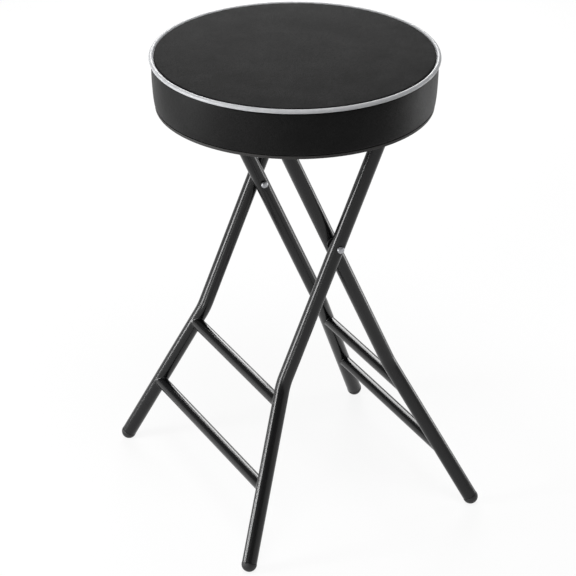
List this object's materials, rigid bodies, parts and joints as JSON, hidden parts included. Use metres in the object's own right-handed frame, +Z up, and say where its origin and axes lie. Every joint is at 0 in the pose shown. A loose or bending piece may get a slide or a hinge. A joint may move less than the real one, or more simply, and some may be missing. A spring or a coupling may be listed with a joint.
{
  "type": "folding bar stool",
  "caption": "Folding bar stool: a round padded seat with piping, on crossed frames of bent black steel tube with crossbars, round foot plugs and a seat that tips up to fold.",
  "frame": {"origin": "on the floor, under the middle of the stool's box", "axes": "+Z up through the seat; +X towards the feet of the inner frame, the side on which the seat turns on its rod; +Y to the stool's left, along the pivots"},
  "size_m": [0.3638, 0.3982, 0.603],
  "materials": {
    "frame_powder_coat": "gloss black powder coat on steel tube",
    "rail_powder_coat": "black powder coat on folded steel sheet",
    "zinc_steel": "bright zinc-plated steel",
    "black_plastic": "matt black moulded plastic",
    "seat_vinyl": "black faux leather, fine grain",
    "piping_vinyl": "silver-grey gloss vinyl piping",
    "foam": "open-cell seat foam",
    "plywood": "raw plywood",
    "black_board": "black painted hardboard"
  },
  "bodies": {
    "outer_frame": {"outer_leg_left": "frame_powder_coat", "outer_leg_right": "frame_powder_coat", "outer_crossbar_upper": "frame_powder_coat", "outer_crossbar_lower": "frame_powder_coat", "outer_top_plug_left": "black_plastic", "outer_top_plug_right": "black_plastic", "outer_foot_left": "black_plastic", "outer_foot_right": "black_plastic", "hinge_rod": "zinc_steel", "hinge_rod_cap_left": "zinc_steel", "hinge_rod_cap_right": "zinc_steel", "hinge_rod_clip_left": "zinc_steel", "hinge_rod_clip_right": "zinc_steel", "pivot_rivet_left": "zinc_steel", "pivot_rivet_right": "zinc_steel", "pivot_spacer_left": "black_plastic", "pivot_spacer_right": "black_plastic"},
    "inner_frame": {"inner_leg_left": "frame_powder_coat", "inner_leg_right": "frame_powder_coat", "inner_rest_bar": "frame_powder_coat", "inner_crossbar_upper": "frame_powder_coat", "inner_crossbar_lower": "frame_powder_coat", "inner_top_plug_left": "black_plastic", "inner_top_plug_right": "black_plastic", "inner_foot_left": "black_plastic", "inner_foot_right": "black_plastic"},
    "seat": {"seat_board": "plywood", "seat_foam": "foam", "seat_cover_top": "seat_vinyl", "seat_cover_band": "seat_vinyl", "seat_piping": "piping_vinyl", "seat_base_panel": "black_board", "seat_rail_left": "rail_powder_coat", "seat_rail_right": "rail_powder_coat", "rail_screw_left_hook": "zinc_steel", "rail_screw_left_middle": "zinc_steel", "rail_screw_left_ear": "zinc_steel", "rail_screw_right_hook": "zinc_steel", "rail_screw_right_middle": "zinc_steel", "rail_screw_right_ear": "zinc_steel"}
  },
  "joints": [
    {"name": "seat_lift", "type": "hinge", "parent": "outer_frame", "child": "seat", "pos_m": [0.05621, 0, 0.5201], "axis": [0, 1, 0], "range_deg": [0, 112]},
    {"name": "frame_fold", "type": "hinge", "parent": "outer_frame", "child": "inner_frame", "pos_m": [-0.00142, 0, 0.385], "axis": [0, 1, 0], "range_deg": [0, 41.5]}
  ],
  "couplings": [
    {"joint": "frame_fold", "follows": "seat_lift", "ratio": 0.37}
  ]
}
